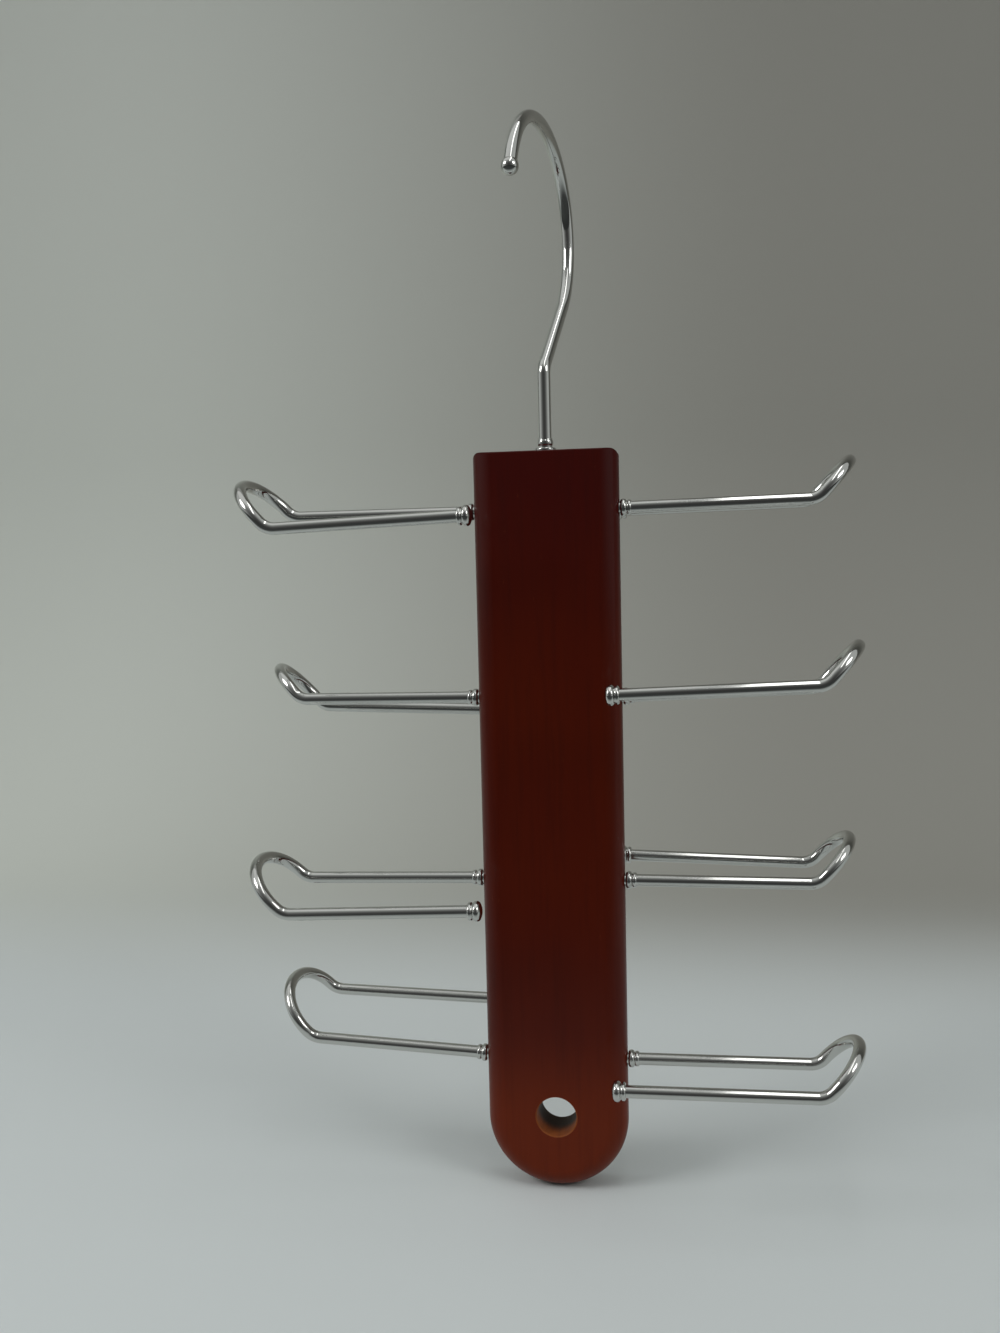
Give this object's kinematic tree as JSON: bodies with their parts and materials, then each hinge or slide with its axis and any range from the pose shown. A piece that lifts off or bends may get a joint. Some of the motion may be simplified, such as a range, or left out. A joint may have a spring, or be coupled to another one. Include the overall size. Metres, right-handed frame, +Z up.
{
  "type": "tie hanger",
  "caption": "Wardrobe hanger for ties: a round-ended wooden board on a swivelling wire hook, with hairpin wire arms that turn in the board on both sides.",
  "frame": {"origin": "where the rail touches the inside of the hook, straight above the stem, so the board hangs below it", "axes": "+Z up along the hook stem, the board's front faces -Y and the arms reach out along -X and +X"},
  "size_m": [0.1883, 0.0625, 0.3339],
  "materials": {
    "stained_wood": "dark cherry stain under clear semi-gloss lacquer",
    "arm_wire": "bright chrome plate",
    "fittings": "bright chrome plate",
    "hook_metal": "bright chrome plate",
    "bush_metal": "plated steel"
  },
  "bodies": {
    "hook": {"hook": "hook_metal", "hook_ball": "hook_metal", "stem_bead": "hook_metal"},
    "board": {"board": "stained_wood", "swivel_bush": "bush_metal"},
    "left_arm_1": {"left_arm_1": "arm_wire", "left_collar_1": "fittings", "left_cap_1": "fittings"},
    "left_arm_2": {"left_arm_2": "arm_wire", "left_collar_2": "fittings", "left_cap_2": "fittings"},
    "left_arm_3": {"left_arm_3": "arm_wire", "left_collar_3": "fittings", "left_cap_3": "fittings"},
    "left_arm_4": {"left_arm_4": "arm_wire", "left_collar_4": "fittings", "left_cap_4": "fittings"},
    "right_arm_1": {"right_arm_1": "arm_wire", "right_collar_1": "fittings", "right_cap_1": "fittings"},
    "right_arm_2": {"right_arm_2": "arm_wire", "right_collar_2": "fittings", "right_cap_2": "fittings"},
    "right_arm_3": {"right_arm_3": "arm_wire", "right_collar_3": "fittings", "right_cap_3": "fittings"},
    "right_arm_4": {"right_arm_4": "arm_wire", "right_collar_4": "fittings", "right_cap_4": "fittings"}
  },
  "joints": [
    {"name": "hook_swivel", "type": "hinge", "parent": "hook", "child": "board", "pos_m": [0, 0, -0.0959], "axis": [0, 0, 1], "continuous": true},
    {"name": "left_swing_1", "type": "hinge", "parent": "board", "child": "left_arm_1", "pos_m": [-0.0225, 0, -0.1137], "axis": [1, 0, 0], "range_deg": [-69, 51]},
    {"name": "left_swing_2", "type": "hinge", "parent": "board", "child": "left_arm_2", "pos_m": [-0.0225, 0, -0.1718], "axis": [1, 0, 0.0052], "range_deg": [-48, 72]},
    {"name": "left_swing_3", "type": "hinge", "parent": "board", "child": "left_arm_3", "pos_m": [-0.0225, 0, -0.2299], "axis": [0.9998, 0, 0.0192], "range_deg": [-70.5, 49.5]},
    {"name": "left_swing_4", "type": "hinge", "parent": "board", "child": "left_arm_4", "pos_m": [-0.0225, 0, -0.288], "axis": [0.9989, 0, -0.0471], "range_deg": [-77, 43]},
    {"name": "right_swing_1", "type": "hinge", "parent": "board", "child": "right_arm_1", "pos_m": [0.0225, 0, -0.1137], "axis": [0.9999, 0, 0.0157], "range_deg": [-60.5, 59.5]},
    {"name": "right_swing_2", "type": "hinge", "parent": "board", "child": "right_arm_2", "pos_m": [0.0225, 0, -0.1718], "axis": [0.9993, 0, 0.0384], "range_deg": [-52.5, 67.5]},
    {"name": "right_swing_3", "type": "hinge", "parent": "board", "child": "right_arm_3", "pos_m": [0.0225, 0, -0.2299], "axis": [1, 0, -0.0017], "range_deg": [-60, 60]},
    {"name": "right_swing_4", "type": "hinge", "parent": "board", "child": "right_arm_4", "pos_m": [0.0225, 0, -0.288], "axis": [0.9999, 0, 0.0105], "range_deg": [-58, 62]}
  ]
}
